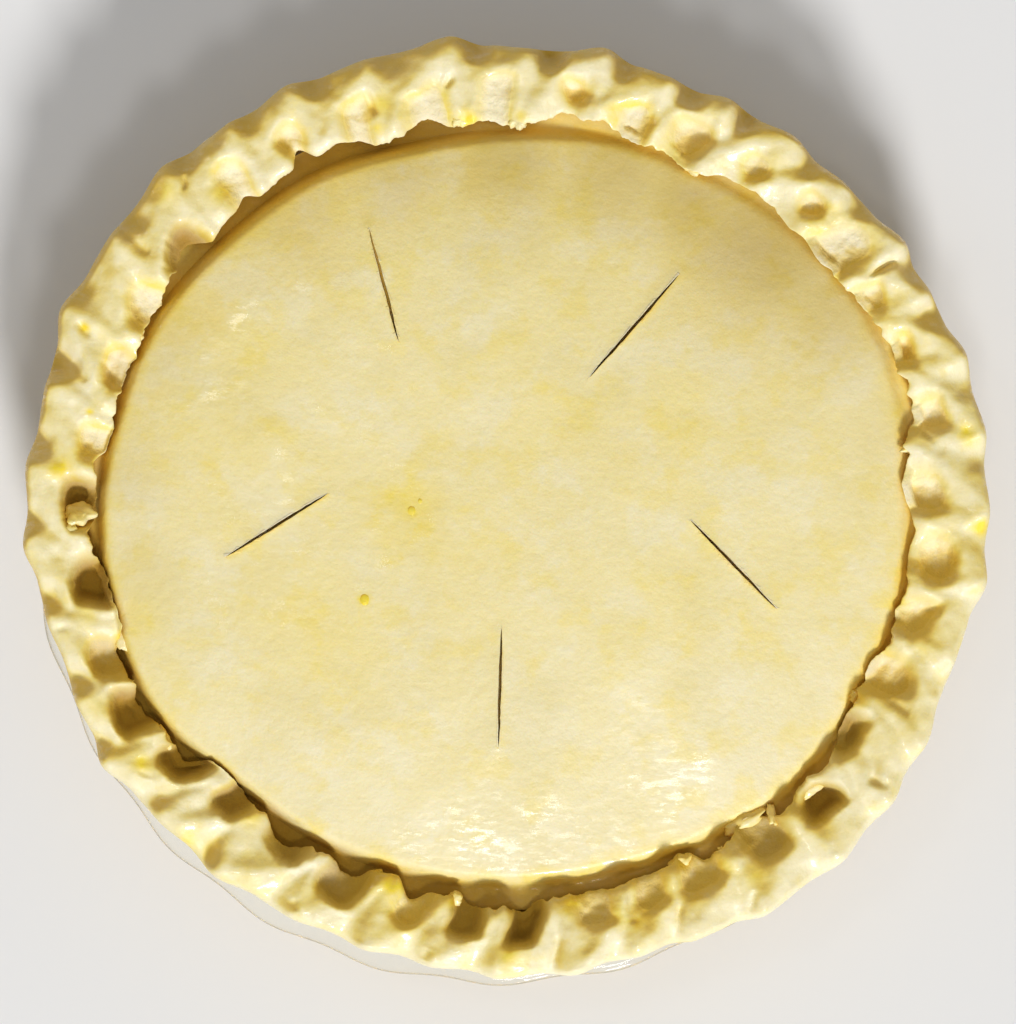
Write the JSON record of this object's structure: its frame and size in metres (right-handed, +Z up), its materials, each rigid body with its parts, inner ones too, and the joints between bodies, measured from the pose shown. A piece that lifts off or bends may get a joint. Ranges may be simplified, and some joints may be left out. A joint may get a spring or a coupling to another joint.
{
  "type": "potato bacon pie",
  "caption": "Unbaked double-crust pie in its round clear glass pie plate, with a hand-pinched rim, a domed lid and short vent slits.",
  "frame": {"origin": "middle of the pie plate's flat foot, on the surface it stands on", "axes": "+Z up through the lid; +X to the right and +Y to the top of the overhead picture; the pie is round, so X and Y carry no other meaning"},
  "size_m": [0.2683, 0.2641, 0.0521],
  "materials": {
    "clear_glass": "polished, clear, with a faint cool tint at the rim",
    "raw_dough": "raw dough brushed with egg wash, satin, with dry matte folds"
  },
  "bodies": {
    "root": {"dish": "clear_glass", "pastry": "raw_dough"}
  },
  "joints": []
}
